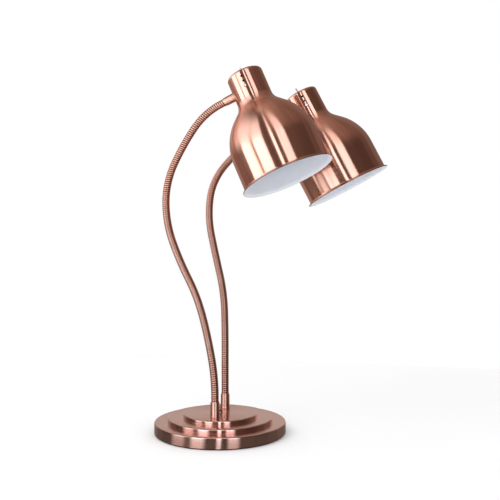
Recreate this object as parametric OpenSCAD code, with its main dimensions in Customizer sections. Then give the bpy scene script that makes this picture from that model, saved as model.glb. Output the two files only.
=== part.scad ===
// Food heat lamp: two spun copper shades on ribbed goosenecks above a weighted, three-tier round base.
// Millimetres, +Z up. The origin is the centre of the base's underside. The arms stand on the Y axis,
// the front one at -Y and the back one at +Y, and both shades hang out over +X.

/* [Base] */
// Diameter of the base at its outer tier
base_d = 250; // [225:1:300]
// Diameter of the middle tier
middle_tier_d = 200; // [180:1:212]
// Diameter of the top tier
top_tier_d = 141; // [136:1:160]
// Height of the outer tier's top above the ground
outer_tier_h = 22.5; // [20:0.5:30]
// Rise from the outer tier to the middle one
middle_step_h = 8; // [5:0.5:12]
// Rise from the middle tier to the top one
top_step_h = 7.5; // [5:0.5:12]
// Wall of the spun base cover
cover_wall = 1.5; // [1:0.1:2.5]
// Radius of the rolled edge of each tier
tier_edge_r = 2.6; // [2.6:0.1:4]
// Thickness of the rubber pad the lamp stands on
pad_h = 2.5; // [2.4:0.1:4]
// Thickness of the steel bottom plate
plate_t = 1.5; // [1:0.1:2.5]
// Gap between the cast ballast disc and the cover
ballast_gap = 10.5; // [8:0.5:16]
// Thickness of the ballast disc
ballast_t = 10; // [8:0.5:12]
// Gap between the ballast's raised centre and the top tier
boss_gap = 7; // [4:0.5:9]
// Wall of the raised centre round the wiring pocket
boss_wall = 11; // [8:0.5:12]
// Iron left above the wiring pocket
pocket_roof = 12; // [8:0.5:14]
// Diameter of the bottom plate's screws
plate_screw_d = 4; // [3:0.5:5]
// How far in from the rubber pad's edge the bottom plate screws sit
plate_screw_inset = 36.5; // [34:0.5:39]
// Diameter of the cable's bore through the gland
gland_bore_d = 8; // [6:0.5:9]

/* [Arms] */
// Distance between the two arms at the base
arm_spacing = 76; // [72:1:80]
// Outer diameter of the gooseneck over its ribs
hose_d = 14.7; // [14:0.1:16]
// Bore of the gooseneck
hose_bore_d = 7.6; // [6.6:0.1:8]
// Depth of the groove between two ribs
rib_depth = 0.65; // [0.4:0.05:0.8]
// Ribs on each gooseneck segment
ribs = 11; // [6:1:12]
// Length of each of an arm's eight gooseneck segments along its curve
link_len = 79; // [60:1:90]
// How deep the gooseneck sits in its ferrules
hose_seat = 8; // [6:0.5:10]
// Straight run of the gooseneck outside its ferrules
hose_straight = 8; // [7:0.5:12]
// Height of the lower ferrule above the base
lower_ferrule_h = 28; // [24:0.5:36]
// Diameter of the lower ferrule at its foot
lower_ferrule_d = 18.4; // [18:0.1:20]
// Length of the upper ferrule outside the neck
upper_ferrule_len = 21; // [18:0.5:26]
// Diameter of the upper ferrule where it meets the neck
upper_ferrule_d = 17; // [16.8:0.1:19]
// Diameter of the ferrules' threaded spigots
spigot_d = 10; // [9:0.5:11]

/* [Shades] */
// Diameter of the shade's mouth over its rolled rim
mouth_d = 180; // [172:1:190]
// Diameter of the shade's straight skirt
skirt_d = 170; // [160:1:171]
// Height of the straight skirt above the mouth
skirt_h = 62; // [50:1:70]
// Radius of the shoulder in section
shoulder_r = 100; // [90:1:104]
// Radius of the throat between shoulder and neck
throat_r = 28; // [22:1:32]
// Angle between the shade's axis and its slope at the throat
slope_angle = 45; // [44:0.5:46]
// Diameter of the neck
neck_d = 70; // [66:1:74]
// Straight length of the neck above the throat
neck_len = 53; // [48:0.5:65]
// Wall of the spun shade
shade_wall = 1.2; // [0.8:0.1:1.5]
// Depth of the gooseneck's entry under the neck's top
entry_drop = 32; // [28:0.5:36]
// Diameter of the vent holes in the neck
vent_d = 4; // [3:0.5:5]
// Distance between the holes of a column
vent_pitch = 10; // [9:0.5:11]
// Depth of each column's lowest hole, which takes the bracket screw, under the neck's top
vent_drop = 34; // [33:0.5:37]

/* [Lamp] */
// Diameter of the infrared bulb's reflector
bulb_d = 121; // [110:1:124]
// Height of the bulb's glass from its face to its cap
bulb_glass_h = 104; // [100:1:106]
// Wall of the bulb's glass
bulb_wall = 2; // [1.5:0.1:3]
// Diameter of the screw cap
cap_d = 26; // [25:0.1:26.4]
// Length of the screw cap
cap_len = 24; // [20:0.5:25]
// Diameter of the ceramic lampholder
holder_d = 42; // [40:1:46]
// Length of the ceramic lampholder
holder_h = 38; // [36:0.5:40]
// Depth of the lampholder's top under the neck's top
holder_drop = 32; // [31:0.5:34]
// How far the holder's foot reaches down over the bulb's stem
holder_overlap = 2; // [1:0.5:5]

/* [Switches] */
// Diameter of a toggle switch's threaded bush
bush_d = 6; // [5.8:0.1:6.6]
// Height of the bush above the panel it is fixed in
bush_h = 5; // [4.5:0.1:7]
// Height of the lever's tip above the bush
lever_reach = 10; // [8:0.5:14]
// Tilt of the lever at rest
lever_tilt = 10; // [6:0.5:11]

/* [Pose] */
// Compass direction in which the front arm leaves its root
front_heading = -4; // [-20:1:20]
// Turn of the front arm's segments in the plane of the arm, root first
front_bends = [-11, -6, -13.5, 6.5, 19.5, 27.5, 10.5, 32];
// Sideways turn of the front arm's segments
front_leans = [2.5, 2.5, 2, 1.5, 1, 0.5, 0, -0.5];
// Roll of the front shade about its ferrule
front_roll = 6; // [-20:1:20]
// Compass direction in which the back arm leaves its root
back_heading = 17; // [0:1:30]
// Turn of the back arm's segments in the plane of the arm, root first
back_bends = [0.5, -1.5, -11, 1.5, 17.5, 32, 13, 13];
// Sideways turn of the back arm's segments
back_leans = [7, 4.5, 3, 2, 1, -1.5, -5.5, -9.5];
// Roll of the back shade about its ferrule
back_roll = 5; // [-20:1:20]

/* [Hidden] */
$fn = 96;

// Fits
slip = 0.15;          // radial clearance of a screw or spigot in its hole
seat_gap = 0.1;       // gap between faces that are clamped or glued
cut = 1;              // how far a cutting body runs past the face it opens

// Heights in the base
cover_foot = pad_h;
middle_tier_h = outer_tier_h + middle_step_h;
base_top = middle_tier_h + top_step_h;
panel_under = base_top - cover_wall;
plate_top = pad_h + plate_t;
ballast_foot = plate_top + seat_gap;
boss_top = panel_under - seat_gap;
pocket_top = boss_top - pocket_roof;
plate_edge = 1;               // gap between the bottom plate and the cover
pad_edge = 1;                 // how far the rubber pad stays back from the plate's edge
pad_window = 2;               // gap round a screw's head where it shows through the pad
plate_r = base_d / 2 - cover_wall - plate_edge;
pad_r = plate_r - pad_edge;
plate_screw_pcd = 2 * (pad_r - plate_screw_inset);
ballast_d = base_d - 2 * (cover_wall + ballast_gap);
boss_d = top_tier_d - 2 * (cover_wall + boss_gap);
pocket_d = boss_d - 2 * boss_wall;
screw_head_h = pad_h - 0.4;
screw_head_r = plate_screw_d * 0.9;
plate_screw_count = 4;
gland_z = (cover_foot + outer_tier_h) / 2;
gland_r = gland_bore_d / 2 + 2;
gland_flange_r = gland_r + 2.6;
gland_nose = 14;
gland_nut_t = 4;
gland_inside = 8;
channel_w = 2 * gland_flange_r + 4;
switch_well_r = 14;

// Ferrules and nuts
spigot_r = spigot_d / 2;
wire_bore_r = 3.2;
lower_ferrule_top_d = lower_ferrule_d - 1.4;
upper_ferrule_tip_d = upper_ferrule_d - 1.4;
washer_t = 1.5;
washer_r = spigot_r + 4.5;
nut_t = 6;
nut_r = spigot_r + 3.7;
lower_spigot_end = pocket_top - washer_t - nut_t - 2;

// Gooseneck: an eight-sided tube whose corners stand out so that its section keeps the round one's area
sides = 8;
links = 8;
fit = sqrt(2 * PI / (sides * sin(360 / sides)));
crest_r = hose_d / 2 * fit;
groove_r = (hose_d / 2 - rib_depth) * fit;
bore_r = hose_bore_d / 2 * fit;
ball_r = groove_r - 1.75;     // the inner nose that one segment reaches into the next with
cup_r = ball_r + 0.85;        // the hollow around that nose
nose_reach = 2.5;
face_in = 1.5;                // a segment's end face stops this far before the bending point
face_out = 0.8;               // the next segment's face starts this far after it
seat_r = hose_d / 2 - 0.05;   // bore of the ferrules, round the gooseneck's plain ends
tail_r = groove_r - 0.1;

// Shade: points that follow from its section
neck_r = neck_d / 2;
skirt_r = skirt_d / 2;
mouth_r = mouth_d / 2;
bead_r = 1;
lip_r = mouth_r - skirt_r - bead_r / 2;
crown_r = 6;
shoulder_end_r = skirt_r - shoulder_r * (1 - cos(slope_angle));
shoulder_end_h = skirt_h + shoulder_r * sin(slope_angle);
throat_start_r = neck_r + throat_r * (1 - cos(slope_angle));
throat_start_h = shoulder_end_h + (shoulder_end_r - throat_start_r) / tan(slope_angle);
neck_start_h = throat_start_h + throat_r * sin(slope_angle);
neck_inner_r = neck_r - shade_wall;
shade_h = neck_start_h + neck_len;

// Lampholder, bracket and bulb hang from the neck's top, and are measured up from the shade's mouth
entry_h = shade_h - entry_drop;
vent_base_h = shade_h - vent_drop;
holder_top_h = shade_h - holder_drop;
holder_foot_h = holder_top_h - holder_h;
glass_top_h = holder_foot_h + holder_overlap;
bulb_recess = glass_top_h - bulb_glass_h;
cap_foot_h = glass_top_h + seat_gap;
contact_h = 2;
shell_foot = 3;               // how far the screw shell stays back from the holder's foot
shell_depth = cap_foot_h + cap_len + seat_gap - holder_foot_h - shell_foot;
shell_r = cap_d / 2 + 0.5;
shell_wall = 0.7;
pocket_depth = shell_foot + shell_depth + shell_wall + seat_gap;
strap_t = 1.5;
strap_w = 16;
strap_foot_h = holder_top_h + seat_gap;
tab_t = 3;                    // depth of the turned-down tabs, trimmed to the round wall
strap_end = neck_inner_r - 0.3;
tab_foot_h = vent_base_h - 5;
bracket_screw_r = vent_d / 2 - slip;
holder_screw_x = 5;
holder_screw_y = 12;
holder_screw_r = 1.5;
holder_screw_len = 7;
bracket_screw_len = 6;
small_head_h = 1.6;
holder_wire_r = 3;
bracket_wire_r = 5;

// Switches
bush_r = bush_d / 2;
bush_bore_r = bush_r - 0.65;
body_w = 13;
body_d = 8;
body_h = 10.5;
pin_h = 4;
ball_pivot_r = bush_bore_r - 0.3;
lever_r = 1.1;
lever_tip_r = 1.6;
switch_nut_t = 2;

// Frames: each is a 4 x 4 matrix whose Z axis runs along the arm
function shift(v) = [[1, 0, 0, v.x], [0, 1, 0, v.y], [0, 0, 1, v.z], [0, 0, 0, 1]];
function spin_z(a) = [[cos(a), -sin(a), 0, 0], [sin(a), cos(a), 0, 0], [0, 0, 1, 0], [0, 0, 0, 1]];
// Frame at the distance s along an arc of the length len that turns by bend and lean
function arc_frame(bend, lean, len, s) =
    let (turn = norm([bend, lean]), d = [bend, lean] / turn, a = turn * s / len,
        r = len / (turn * PI / 180), k = [-d.y, d.x], c = cos(a), q = 1 - cos(a))
    [[c + k.x * k.x * q, k.x * k.y * q, k.y * sin(a), d.x * r * q],
     [k.x * k.y * q, c + k.y * k.y * q, -k.x * sin(a), d.y * r * q],
     [-k.y * sin(a), k.x * sin(a), c, r * sin(a)],
     [0, 0, 0, 1]];
// Frame along a segment that bends only between its two straight ends
function link_frame(bend, lean, s, head, tail) =
    let (arc = link_len - head - tail)
    s <= head ? shift([0, 0, s])
    : s <= head + arc ? shift([0, 0, head]) * arc_frame(bend, lean, arc, s - head)
    : shift([0, 0, head]) * arc_frame(bend, lean, arc, arc) * shift([0, 0, s - head - arc]);
function head_of(k) = k == 1 ? hose_straight : 0;
function tail_of(k) = k == links ? hose_straight : 0;
function arm_root(side, heading) =
    shift([0, side * arm_spacing / 2, base_top + lower_ferrule_h]) * spin_z(heading);
function arm_frame(root, bends, leans, k) =
    k == 0 ? root
    : arm_frame(root, bends, leans, k - 1)
        * link_frame(bends[k - 1], leans[k - 1], link_len, head_of(k), tail_of(k));

front_root = arm_root(-1, front_heading);
back_root = arm_root(1, back_heading);

// Rings of one segment as [distance, radius], once round its section: outside, nose, bore and cup
function rib_rings(start, end) =
    let (pitch = (end - start) / ribs)
    [for (i = [0 : ribs - 1]) each [[start + (i + 0.5) * pitch, crest_r],
        if (i < ribs - 1) [start + (i + 1) * pitch, groove_r]]];
function nose_rings() = [[link_len - face_in, groove_r],
    for (s = [-face_in, 0, 1.5, nose_reach]) [link_len + s, sqrt(ball_r * ball_r - s * s)]];
function cup_rings() = [[cup_r * 0.7, bore_r],
    for (s = [3.6, 2.4, face_out]) [s, sqrt(cup_r * cup_r - s * s)], [face_out, groove_r]];
function link_rings(first, last) =
    concat(first ? [[-hose_seat, tail_r], [0, tail_r]] : [],
        rib_rings(first ? 0 : face_out, last ? link_len : link_len - face_in),
        last ? [[link_len, tail_r], [link_len + hose_seat, tail_r]] : nose_rings(),
        [[last ? link_len + hose_seat : link_len + nose_reach, bore_r],
         [link_len * 0.75, bore_r], [link_len * 0.5, bore_r], [link_len * 0.25, bore_r]],
        first ? [[-hose_seat, bore_r]] : cup_rings());

module hose_segment(bend, lean, k) {
    rings = link_rings(k == 1, k == links);
    n = len(rings);
    points = [for (ring = rings) let (m = link_frame(bend, lean, ring[0], head_of(k), tail_of(k)))
        for (j = [0 : sides - 1]) let (a = (j + 0.5) * 360 / sides,
            p = m * [ring[1] * cos(a), ring[1] * sin(a), 0, 1]) [p.x, p.y, p.z]];
    faces = [for (i = [0 : n - 1]) for (j = [0 : sides - 1])
        let (a = i * sides + j, b = i * sides + (j + 1) % sides,
            c = ((i + 1) % n) * sides + (j + 1) % sides, d = ((i + 1) % n) * sides + j)
        each [[a, d, c], [a, c, b]]];
    polyhedron(points, faces, convexity = 6);
}

module front_link(k) {
    color("#c98a6b") multmatrix(arm_frame(front_root, front_bends, front_leans, k - 1))
        hose_segment(front_bends[k - 1], front_leans[k - 1], k);
}

module back_link(k) {
    color("#c98a6b") multmatrix(arm_frame(back_root, back_bends, back_leans, k - 1))
        hose_segment(back_bends[k - 1], back_leans[k - 1], k);
}

// Head frame: origin at the mouth's centre, Z up the shade's axis, the gooseneck coming in from -X
module on_front_head() {
    multmatrix(arm_frame(front_root, front_bends, front_leans, links)) rotate([0, 0, front_roll])
        rotate([0, -90, 0]) translate([upper_ferrule_len + neck_r, 0, -entry_h]) children();
}

module on_back_head() {
    multmatrix(arm_frame(back_root, back_bends, back_leans, links)) rotate([0, 0, back_roll])
        rotate([0, -90, 0]) translate([upper_ferrule_len + neck_r, 0, -entry_h]) children();
}

// Common small pieces
module hex_nut(across_r, thick, hole_r) {
    difference() {
        cylinder(r = across_r, h = thick, $fn = 6);
        translate([0, 0, -cut]) cylinder(r = hole_r, h = thick + 2 * cut);
    }
}

module pan_screw(head_r, head_h, shank_r, shank_len) {
    // the head's seat is at the origin and the shank runs along +Z
    translate([0, 0, -head_h]) cylinder(r1 = head_r * 0.75, r2 = head_r, h = head_h * 0.6);
    translate([0, 0, -head_h * 0.4]) cylinder(r = head_r, h = head_h * 0.4);
    cylinder(r = shank_r, h = shank_len);
}

// Base
function tier_edge(r, h, d) = [for (t = [0 : 15 : 90])
    [r - tier_edge_r + (tier_edge_r - d) * cos(t), h - tier_edge_r + (tier_edge_r - d) * sin(t)]];
function cover_outline(d) = concat([[base_d / 2 - d, cover_foot]],
    tier_edge(base_d / 2, outer_tier_h, d), [[middle_tier_d / 2 - d, outer_tier_h - d]],
    tier_edge(middle_tier_d / 2, middle_tier_h, d), [[top_tier_d / 2 - d, middle_tier_h - d]],
    tier_edge(top_tier_d / 2, base_top, d), [[0, base_top - d]]);
function reversed(list) = [for (i = [len(list) - 1 : -1 : 0]) list[i]];

module base_cover() {
    color("#b9806a") difference() {
        rotate_extrude($fn = 180) polygon(concat(cover_outline(0), reversed(cover_outline(cover_wall))));
        for (side = [-1, 1]) translate([0, side * arm_spacing / 2, 0])
            cylinder(r = spigot_r + slip, h = base_top + cut);
        cylinder(r = bush_r + slip, h = base_top + cut);
        translate([0, 0, gland_z]) rotate([-90, 0, 0]) cylinder(r = gland_r + slip, h = base_d);
    }
}

module base_ballast() {
    color("#4a4a4c") difference() {
        union() {
            translate([0, 0, ballast_foot]) cylinder(d = ballast_d, h = ballast_t);
            translate([0, 0, ballast_foot]) cylinder(d = boss_d, h = boss_top - ballast_foot);
        }
        translate([0, 0, ballast_foot - cut]) cylinder(d = pocket_d, h = pocket_top - ballast_foot + cut);
        cylinder(r = switch_well_r, h = base_top);
        for (side = [-1, 1]) translate([0, side * arm_spacing / 2, 0])
            cylinder(r = spigot_r + slip, h = base_top);
        translate([-channel_w / 2, pocket_d / 4, ballast_foot - cut])
            cube([channel_w, ballast_d, ballast_t + 2 * cut]);
        for (i = [0 : plate_screw_count - 1]) rotate([0, 0, (i + 0.5) * 360 / plate_screw_count])
            translate([plate_screw_pcd / 2, 0, ballast_foot - cut])
                cylinder(r = plate_screw_d / 2 + slip, h = ballast_t - 1 + cut);
    }
}

module base_plate() {
    color("#9a9c9f") difference() {
        translate([0, 0, pad_h]) cylinder(r = plate_r, h = plate_t);
        for (i = [0 : plate_screw_count - 1]) rotate([0, 0, (i + 0.5) * 360 / plate_screw_count])
            translate([plate_screw_pcd / 2, 0, pad_h - cut])
                cylinder(r = plate_screw_d / 2 + slip, h = plate_t + 2 * cut);
    }
}

module base_pad() {
    color("#2b2b2d") difference() {
        cylinder(r = pad_r, h = pad_h);
        for (i = [0 : plate_screw_count - 1]) rotate([0, 0, (i + 0.5) * 360 / plate_screw_count])
            translate([plate_screw_pcd / 2, 0, -cut])
                cylinder(r = screw_head_r + pad_window, h = pad_h + 2 * cut);
    }
}

module plate_screws() {
    color("#c4c6c9") for (i = [0 : plate_screw_count - 1]) rotate([0, 0, (i + 0.5) * 360 / plate_screw_count])
        translate([plate_screw_pcd / 2, 0, pad_h])
            pan_screw(screw_head_r, screw_head_h, plate_screw_d / 2, plate_t + ballast_t - 2);
}

module cable_gland() {
    // the flange's flat face stands on the cover's round wall at the gland's own height
    color("#2b2b2d") translate([0, 0, gland_z]) rotate([-90, 0, 0]) difference() {
        union() {
            difference() {
                translate([0, 0, base_d / 2 - cover_wall]) cylinder(r = gland_flange_r, h = cover_wall + 4);
                translate([0, gland_flange_r + cut, 0]) rotate([90, 0, 0])
                    cylinder(d = base_d, h = 2 * (gland_flange_r + cut), $fn = 180);
            }
            translate([0, 0, base_d / 2 - cover_wall - gland_inside])
                cylinder(r = gland_r, h = gland_inside + cover_wall + 4);
            translate([0, 0, base_d / 2 + 3])
                cylinder(r1 = gland_r, r2 = gland_bore_d / 2 + 1, h = gland_nose - 3);
        }
        translate([0, 0, base_d / 2 - cover_wall - gland_inside - cut])
            cylinder(d = gland_bore_d, h = gland_inside + cover_wall + gland_nose + 2 * cut);
    }
}

module gland_nut() {
    color("#2b2b2d") translate([0, 0, gland_z]) rotate([-90, 0, 0])
        translate([0, 0, base_d / 2 - cover_wall - gland_nut_t - 0.6])
            hex_nut(gland_r + 2.2, gland_nut_t, gland_r + slip);
}

block_l = 30;
block_w = 15;
block_h = 12;
block_x = 30;
pole_pitch = 9.5;
pole_r = 3.6;
pole_rise = 2;                // how far the poles stand out of the block
wire_hole_r = 1.9;
pole_screw_r = 1.6;
block_foot = pocket_top - seat_gap - block_h;
pole_foot = block_foot - pole_rise;
pole_screw_len = block_h / 2 - 1;

module terminal_block() {
    color("#ece8dc") difference() {
        union() {
            translate([block_x - block_w / 2, -block_l / 2, block_foot]) cube([block_w, block_l, block_h]);
            for (i = [-1 : 1]) translate([block_x, i * pole_pitch, pole_foot])
                cylinder(r = pole_r, h = pole_rise + cut);
        }
        for (i = [-1 : 1]) {
            translate([block_x - block_w, i * pole_pitch, block_foot + block_h / 2]) rotate([0, 90, 0])
                cylinder(r = wire_hole_r, h = 2 * block_w);
            translate([block_x, i * pole_pitch, pole_foot - cut])
                cylinder(r = pole_screw_r + slip, h = pole_rise + block_h / 2 + cut);
        }
    }
}

module terminal_screws() {
    color("#c8a24a") for (i = [-1 : 1]) translate([block_x, i * pole_pitch, pole_foot + seat_gap])
        cylinder(r = pole_screw_r, h = pole_screw_len);
}

// Toggle switch, drawn on a panel whose top is the origin and whose thickness is panel
module toggle_body(panel) {
    color("#2f3134") difference() {
        union() {
            translate([-body_w / 2, -body_d / 2, -panel - seat_gap - body_h]) cube([body_w, body_d, body_h]);
            translate([0, 0, -panel - seat_gap - 0.5])
                cylinder(r = bush_r, h = panel + seat_gap + 0.5 + bush_h);
            for (i = [-1 : 1]) translate([i * 4.4 - 0.4, -1, -panel - seat_gap - body_h - pin_h])
                cube([0.8, 2, pin_h + cut]);
        }
        translate([0, 0, -panel - 3]) cylinder(r = bush_bore_r, h = panel + 3 + bush_h + cut);
    }
}

module toggle_nut() {
    color("#d5d7da") translate([0, 0, seat_gap]) hex_nut(bush_r + 1.6, switch_nut_t, bush_r + slip);
}

// The lever's pivot is at the panel's top, and its shaft tilts away from the bush's axis
module toggle_lever() {
    color("#d5d7da") {
        sphere(r = ball_pivot_r, $fn = 48);
        cylinder(r1 = lever_r - 0.2, r2 = lever_tip_r, h = bush_h + lever_reach - lever_tip_r);
        translate([0, 0, bush_h + lever_reach - lever_tip_r]) sphere(r = lever_tip_r, $fn = 48);
    }
}

module power_switch_body() { translate([0, 0, base_top]) toggle_body(cover_wall); }

module power_switch_nut() { translate([0, 0, base_top]) toggle_nut(); }

module power_switch_lever() { translate([0, 0, base_top]) rotate([lever_tilt, 0, 0]) toggle_lever(); }

// Lower ferrules, with the spigot that clamps cover and ballast
module lower_ferrule(side) {
    color("#c08468") translate([0, side * arm_spacing / 2, base_top]) rotate_extrude($fn = 96) polygon([
        [wire_bore_r, lower_spigot_end - base_top], [spigot_r, lower_spigot_end - base_top],
        [spigot_r, 0], [lower_ferrule_d / 2, 0], [lower_ferrule_d / 2, 2],
        [lower_ferrule_top_d / 2, lower_ferrule_h - 1.2], [lower_ferrule_top_d / 2 - 0.7, lower_ferrule_h],
        [seat_r, lower_ferrule_h], [seat_r, lower_ferrule_h - hose_seat - 0.2],
        [wire_bore_r, lower_ferrule_h - hose_seat - 0.2 - seat_r + wire_bore_r]]);
}

module front_lower_ferrule() { lower_ferrule(-1); }

module back_lower_ferrule() { lower_ferrule(1); }

module arm_washers() {
    color("#c4c6c9") for (side = [-1, 1])
        translate([0, side * arm_spacing / 2, pocket_top - washer_t]) difference() {
            cylinder(r = washer_r, h = washer_t);
            translate([0, 0, -cut]) cylinder(r = spigot_r + slip, h = washer_t + 2 * cut);
        }
}

module arm_nuts() {
    color("#c4c6c9") for (side = [-1, 1])
        translate([0, side * arm_spacing / 2, pocket_top - washer_t - nut_t])
            hex_nut(nut_r, nut_t, spigot_r + slip);
}

// Upper ferrule: lies along -X of the head at the entry height, its saddle cut to the neck's round wall
module upper_ferrule() {
    color("#c08468") translate([0, 0, entry_h]) difference() {
        translate([-neck_r - upper_ferrule_len, 0, 0]) rotate([0, 90, 0]) rotate_extrude($fn = 96) polygon([
            [seat_r, 0], [upper_ferrule_tip_d / 2 - 0.2, 0], [upper_ferrule_tip_d / 2, 0.8],
            [upper_ferrule_d / 2, upper_ferrule_len - 3], [upper_ferrule_d / 2, upper_ferrule_len + 2],
            [wire_bore_r, upper_ferrule_len + 2],
            [wire_bore_r, hose_seat + 0.2 + seat_r - wire_bore_r], [seat_r, hose_seat + 0.2]]);
        translate([0, 0, -upper_ferrule_d])
            cylinder(r = neck_r + seat_gap, h = 2 * upper_ferrule_d, $fn = 120);
    }
    color("#c08468") translate([-neck_r - 3, 0, entry_h]) rotate([0, 90, 0]) difference() {
        cylinder(r = spigot_r, h = 3 + shade_wall + nut_t + 3);
        translate([0, 0, -cut]) cylinder(r = wire_bore_r, h = shade_wall + nut_t + 6 + 2 * cut);
    }
}

module ferrule_nut() {
    // its corners meet the neck's inner wall
    color("#c4c6c9") translate([-sqrt(neck_inner_r * neck_inner_r - nut_r * nut_r) + seat_gap, 0, entry_h])
        rotate([0, 90, 0]) hex_nut(nut_r, nut_t, spigot_r + slip);
}

// Shade, one spun shell from its rolled rim to its closed top
arc_steps = 8;
function shade_outline(d) = concat(
    [for (i = [arc_steps : -1 : 0]) let (t = i * 90 / arc_steps)
        [skirt_r + lip_r - (lip_r + d) * cos(t), lip_r + shade_wall - (lip_r + d) * sin(t)]],
    [for (i = [0 : arc_steps]) let (t = i * slope_angle / arc_steps)
        [skirt_r - shoulder_r + (shoulder_r - d) * cos(t), skirt_h + (shoulder_r - d) * sin(t)]],
    [for (i = [arc_steps : -1 : 0]) let (t = i * slope_angle / arc_steps)
        [neck_r + throat_r - (throat_r + d) * cos(t), neck_start_h - (throat_r + d) * sin(t)]],
    [for (i = [0 : arc_steps]) let (t = i * 90 / arc_steps)
        [neck_r - crown_r + (crown_r - d) * cos(t), shade_h - crown_r + (crown_r - d) * sin(t)]],
    [[0, shade_h - d]]);

module shade() {
    color("#b9714f") difference() {
        rotate_extrude($fn = 180) union() {
            polygon(concat(shade_outline(0), reversed(shade_outline(shade_wall))));
            translate([mouth_r - bead_r, bead_r]) circle(r = bead_r, $fn = 32);
        }
        translate([0, 0, shade_h - crown_r]) cylinder(r = bush_r + slip, h = crown_r + cut);
        translate([-neck_r - cut, 0, entry_h]) rotate([0, 90, 0]) cylinder(r = spigot_r + slip, h = crown_r);
        for (i = [0 : 2]) translate([0, -neck_r - cut, vent_base_h + i * vent_pitch]) rotate([-90, 0, 0])
            cylinder(d = vent_d, h = neck_d + 2 * cut, $fn = 32);
    }
}

module bracket() {
    // a strap across the neck, with a tab turned down at each end for the screw from outside
    color("#aeb1b5") difference() {
        union() {
            translate([-strap_w / 2, -strap_end, strap_foot_h]) cube([strap_w, 2 * strap_end, strap_t]);
            for (side = [-1, 1])
                translate([-strap_w / 2, side * (strap_end - tab_t / 2) - tab_t / 2, tab_foot_h])
                    cube([strap_w, tab_t, strap_foot_h + strap_t - tab_foot_h]);
        }
        // the ends are trimmed to the neck's round wall
        difference() {
            translate([0, 0, tab_foot_h - cut]) cylinder(r = neck_d, h = holder_h);
            translate([0, 0, tab_foot_h - 2 * cut])
                cylinder(r = strap_end, h = holder_h + 2 * cut, $fn = 120);
        }
        translate([0, -neck_r, vent_base_h]) rotate([-90, 0, 0])
            cylinder(r = bracket_screw_r + slip, h = neck_d);
        for (side = [-1, 1]) translate([side * holder_screw_x, side * holder_screw_y, holder_top_h - cut])
            cylinder(r = holder_screw_r + slip, h = strap_t + 3 * cut);
        translate([0, 0, holder_top_h - cut]) cylinder(r = bracket_wire_r, h = strap_t + 3 * cut);
    }
}

module bracket_screws() {
    color("#d5d7da") for (side = [-1, 1]) translate([0, side * (neck_r + seat_gap), vent_base_h])
        rotate([side * 90, 0, 0]) pan_screw(vent_d * 0.8, small_head_h, bracket_screw_r, bracket_screw_len);
}

module lampholder() {
    color("#efece4") difference() {
        union() {
            translate([0, 0, holder_foot_h]) cylinder(d = holder_d - 4, h = holder_h);
            translate([0, 0, holder_foot_h]) cylinder(d = holder_d, h = holder_h * 0.45);
            translate([0, 0, holder_foot_h + holder_h * 0.45])
                cylinder(d1 = holder_d, d2 = holder_d - 4, h = 3);
        }
        translate([0, 0, holder_foot_h - cut])
            cylinder(r = shell_r + shell_wall + seat_gap, h = pocket_depth + cut);
        cylinder(r = holder_wire_r, h = holder_top_h + cut);
        for (side = [-1, 1])
            translate([side * holder_screw_x, side * holder_screw_y, holder_top_h - holder_screw_len])
                cylinder(r = holder_screw_r + slip, h = holder_screw_len + cut);
    }
}

module screw_shell() {
    // the brass thread of the holder, its closed end the seat of the bulb's contact
    color("#c8a24a") translate([0, 0, holder_foot_h + shell_foot]) difference() {
        cylinder(r = shell_r + shell_wall, h = shell_depth + shell_wall);
        translate([0, 0, -cut]) cylinder(r = shell_r, h = shell_depth + cut);
        cylinder(r = 2.5, h = shell_depth + 2 * cut);
    }
}

module holder_screws() {
    color("#d5d7da") for (side = [-1, 1])
        translate([side * holder_screw_x, side * holder_screw_y, strap_foot_h + strap_t + seat_gap])
            mirror([0, 0, 1]) pan_screw(holder_screw_r * 1.8, small_head_h, holder_screw_r, holder_screw_len);
}

// Reflector bulb: a dished face, a curved reflector and a short stem to the screw cap
bulb_r = bulb_d / 2;
stem_r = cap_d / 2;
face_rim = 9;
face_bulge = 4;
face_lip = 3;
stem_h = 14;                  // straight stem between reflector and cap
stem_root = 6;
stem_flare = 4;
face_steps = 5;
reflector_steps = 9;
function reflector_r(u) = bulb_r - (bulb_r - stem_r - stem_flare) * pow(u, 1.7);
function bulb_outline(d) = concat(
    [for (i = [0 : face_steps]) let (u = i / face_steps) [(bulb_r - face_lip) * u, d + face_bulge * u * u]],
    [[bulb_r - d, face_bulge + face_lip + d], [bulb_r - d, face_rim]],
    [for (i = [1 : reflector_steps]) let (u = i / reflector_steps)
        [reflector_r(u) - d, face_rim + (bulb_glass_h - face_rim - stem_h) * u]],
    [[stem_r - d, bulb_glass_h - stem_root], [stem_r - d, bulb_glass_h]]);

module bulb_glass() {
    color("#f3efe6") translate([0, 0, bulb_recess]) rotate_extrude($fn = 96)
        polygon(concat(bulb_outline(0), reversed(bulb_outline(bulb_wall))));
}

module bulb_cap() {
    // the threaded sleeve, the cone of its insulator and the contact button
    color("#c8a24a") translate([0, 0, cap_foot_h]) {
        cylinder(r = stem_r, h = cap_len - 2 * contact_h);
        translate([0, 0, cap_len - 2 * contact_h]) cylinder(r1 = stem_r - 2, r2 = 5, h = contact_h);
        translate([0, 0, cap_len - contact_h]) cylinder(r = 4, h = contact_h);
    }
}

module head_switch_body() { translate([0, 0, shade_h]) toggle_body(shade_wall); }

module head_switch_nut() { translate([0, 0, shade_h]) toggle_nut(); }

module head_switch_lever() { translate([0, 0, shade_h]) rotate([0, -lever_tilt, 0]) toggle_lever(); }

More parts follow.
